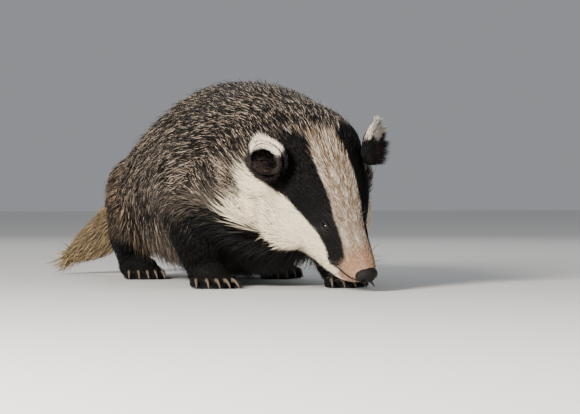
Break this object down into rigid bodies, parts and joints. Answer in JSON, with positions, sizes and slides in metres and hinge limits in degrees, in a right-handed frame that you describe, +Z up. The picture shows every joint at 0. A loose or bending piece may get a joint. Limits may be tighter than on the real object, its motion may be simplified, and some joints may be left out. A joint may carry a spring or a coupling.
{
  "type": "european badger",
  "caption": "European badger, life-size still model, standing low on its feet with its striped head turned and its nose down to the ground.",
  "frame": {"origin": "on the floor under the middle of the whole animal", "axes": "+Z up, the animal faces -Y and its left side is +X"},
  "size_m": [0.3116, 0.736, 0.2443],
  "materials": {
    "face_fur": "short soft fur, white with black stripes",
    "ear_fur": "short black fur with a white rim",
    "coat": "coarse grizzled guard hair",
    "tail_fur": "long buff brush",
    "leg_fur": "short black fur",
    "paw": "black fur, bare pads and horn claws",
    "nose": "moist, finely pebbled",
    "eye": "wet, very dark brown"
  },
  "bodies": {
    "root": {"head": "face_fur", "jaw": "face_fur", "nose": "nose", "eye_left": "eye", "eye_right": "eye", "ear_left": "ear_fur", "ear_right": "ear_fur", "neck": "coat", "torso": "coat", "tail": "tail_fur", "foreleg_left": "leg_fur", "foreleg_right": "leg_fur", "hindleg_left": "leg_fur", "hindleg_right": "leg_fur", "forepaw_left": "paw", "forepaw_right": "paw", "hindpaw_left": "paw", "hindpaw_right": "paw"}
  },
  "joints": []
}
